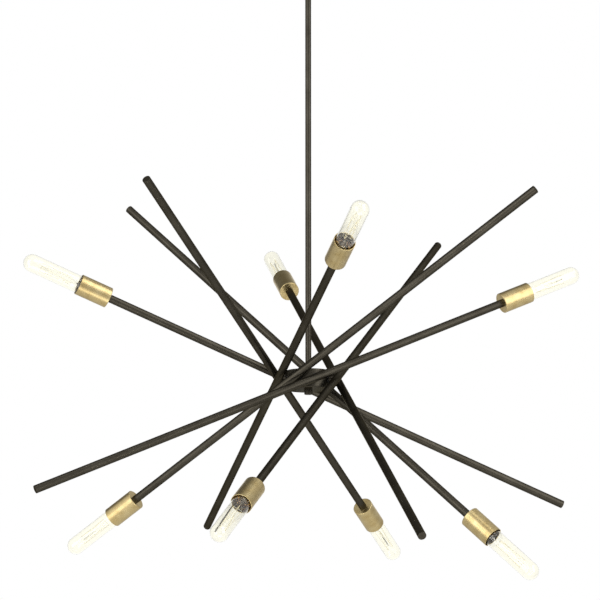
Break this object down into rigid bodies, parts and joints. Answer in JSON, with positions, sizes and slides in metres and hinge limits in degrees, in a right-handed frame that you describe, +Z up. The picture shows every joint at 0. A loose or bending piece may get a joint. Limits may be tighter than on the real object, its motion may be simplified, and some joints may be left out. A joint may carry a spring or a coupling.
{
  "type": "sputnik chandelier",
  "caption": "Stem-hung ceiling light: straight dark tubes swivel tangentially round a small drum, each ending in a brass cup with a clear tubular bulb.",
  "frame": {"origin": "middle of the ceiling plane, on the stem axis, at the top face of the mounting bar", "axes": "+Z up out of the ceiling; +X along the mounting bar; the lamp hangs below Z = 0"},
  "size_m": [0.8844, 0.8571, 0.9987],
  "materials": {
    "dark_bronze": "satin",
    "brushed_brass": "brushed",
    "base_brass": "rolled",
    "clear_glass": "clear",
    "phenolic": "moulded",
    "nylon": "moulded",
    "zinc_steel": "zinc plated"
  },
  "bodies": {
    "canopy": {"mounting_bar": "zinc_steel", "canopy": "dark_bronze", "canopy_screws": "dark_bronze"},
    "swivel_seat": {"swivel_seat": "nylon"},
    "stem": {"swivel_ball": "dark_bronze", "stem_upper": "dark_bronze", "stem_lower": "dark_bronze", "stem_nipples": "zinc_steel", "hub_body": "dark_bronze", "hub_bushings": "nylon", "hub_cover": "dark_bronze", "finial_knob": "dark_bronze"},
    "arm_1": {"arm_tube_1": "dark_bronze", "arm_pivot_1": "dark_bronze", "lamp_cup_1": "brushed_brass", "lamp_socket_1": "phenolic"},
    "bulb_1": {"bulb_base_1": "base_brass", "bulb_glass_1": "clear_glass"},
    "arm_2": {"arm_tube_2": "dark_bronze", "arm_pivot_2": "dark_bronze", "lamp_cup_2": "brushed_brass", "lamp_socket_2": "phenolic"},
    "bulb_2": {"bulb_base_2": "base_brass", "bulb_glass_2": "clear_glass"},
    "arm_3": {"arm_tube_3": "dark_bronze", "arm_pivot_3": "dark_bronze", "lamp_cup_3": "brushed_brass", "lamp_socket_3": "phenolic"},
    "bulb_3": {"bulb_base_3": "base_brass", "bulb_glass_3": "clear_glass"},
    "arm_4": {"arm_tube_4": "dark_bronze", "arm_pivot_4": "dark_bronze", "lamp_cup_4": "brushed_brass", "lamp_socket_4": "phenolic"},
    "bulb_4": {"bulb_base_4": "base_brass", "bulb_glass_4": "clear_glass"},
    "arm_5": {"arm_tube_5": "dark_bronze", "arm_pivot_5": "dark_bronze", "lamp_cup_5": "brushed_brass", "lamp_socket_5": "phenolic"},
    "bulb_5": {"bulb_base_5": "base_brass", "bulb_glass_5": "clear_glass"},
    "arm_6": {"arm_tube_6": "dark_bronze", "arm_pivot_6": "dark_bronze", "lamp_cup_6": "brushed_brass", "lamp_socket_6": "phenolic"},
    "bulb_6": {"bulb_base_6": "base_brass", "bulb_glass_6": "clear_glass"},
    "arm_7": {"arm_tube_7": "dark_bronze", "arm_pivot_7": "dark_bronze", "lamp_cup_7": "brushed_brass", "lamp_socket_7": "phenolic"},
    "bulb_7": {"bulb_base_7": "base_brass", "bulb_glass_7": "clear_glass"},
    "arm_8": {"arm_tube_8": "dark_bronze", "arm_pivot_8": "dark_bronze", "lamp_cup_8": "brushed_brass", "lamp_socket_8": "phenolic"},
    "bulb_8": {"bulb_base_8": "base_brass", "bulb_glass_8": "clear_glass"}
  },
  "joints": [
    {"name": "swivel_turn", "type": "hinge", "parent": "canopy", "child": "swivel_seat", "pos_m": [0, 0, -0.0225], "axis": [0, 0, 1], "range_deg": [-180, 180]},
    {"name": "swivel_tilt", "type": "hinge", "parent": "swivel_seat", "child": "stem", "pos_m": [0, 0, -0.0225], "axis": [1, 0, 0], "range_deg": [-18, 18]},
    {"name": "arm_1_tilt", "type": "hinge", "parent": "stem", "child": "arm_1", "pos_m": [0.01551, -0.04717, -0.67685], "axis": [0.3123, -0.95, 0], "range_deg": [-3, 57]},
    {"name": "bulb_1_unscrew", "type": "slide", "parent": "arm_1", "child": "bulb_1", "axis": [0.8745, 0.2875, 0.3907], "range_m": [0, 0.03]},
    {"name": "arm_2_tilt", "type": "hinge", "parent": "stem", "child": "arm_2", "pos_m": [0.04436, -0.02231, -0.67685], "axis": [0.8934, -0.4493, 0], "range_deg": [-15, 45]},
    {"name": "bulb_2_unscrew", "type": "slide", "parent": "arm_2", "child": "bulb_2", "axis": [-0.3681, -0.7318, -0.5736], "range_m": [0, 0.03]},
    {"name": "arm_3_tilt", "type": "hinge", "parent": "stem", "child": "arm_3", "pos_m": [0.04763, 0.01402, -0.67685], "axis": [0.9593, 0.2823, 0], "range_deg": [-14.3, 45.7]},
    {"name": "bulb_3_unscrew", "type": "slide", "parent": "arm_3", "child": "bulb_3", "axis": [-0.2332, 0.7925, 0.5635], "range_m": [0, 0.03]},
    {"name": "arm_4_tilt", "type": "hinge", "parent": "stem", "child": "arm_4", "pos_m": [0.02354, 0.04372, -0.67685], "axis": [0.4741, 0.8805, 0], "range_deg": [-21, 39]},
    {"name": "bulb_4_unscrew", "type": "slide", "parent": "arm_4", "child": "bulb_4", "axis": [0.6645, -0.3578, -0.6561], "range_m": [0, 0.03]},
    {"name": "arm_5_tilt", "type": "hinge", "parent": "stem", "child": "arm_5", "pos_m": [-0.01526, 0.04725, -0.67685], "axis": [-0.3074, 0.9516, 0], "range_deg": [-1.6, 58.4]},
    {"name": "bulb_5_unscrew", "type": "slide", "parent": "arm_5", "child": "bulb_5", "axis": [-0.8848, -0.2858, 0.3681], "range_m": [0, 0.03]},
    {"name": "arm_6_tilt", "type": "hinge", "parent": "stem", "child": "arm_6", "pos_m": [-0.04388, 0.02323, -0.67685], "axis": [-0.8838, 0.4679, 0], "range_deg": [-11.1, 48.9]},
    {"name": "bulb_6_unscrew", "type": "slide", "parent": "arm_6", "child": "bulb_6", "axis": [0.4007, 0.7567, -0.5165], "range_m": [0, 0.03]},
    {"name": "arm_7_tilt", "type": "hinge", "parent": "stem", "child": "arm_7", "pos_m": [-0.04765, -0.01394, -0.67685], "axis": [-0.9598, -0.2807, 0], "range_deg": [-3.8, 56.2]},
    {"name": "bulb_7_unscrew", "type": "slide", "parent": "arm_7", "child": "bulb_7", "axis": [0.2568, -0.8782, 0.4035], "range_m": [0, 0.03]},
    {"name": "arm_8_tilt", "type": "hinge", "parent": "stem", "child": "arm_8", "pos_m": [-0.023, -0.044, -0.67685], "axis": [-0.4633, -0.8862, 0], "range_deg": [-12.2, 47.8]},
    {"name": "bulb_8_unscrew", "type": "slide", "parent": "arm_8", "child": "bulb_8", "axis": [-0.7499, 0.392, -0.5329], "range_m": [0, 0.03]}
  ]
}
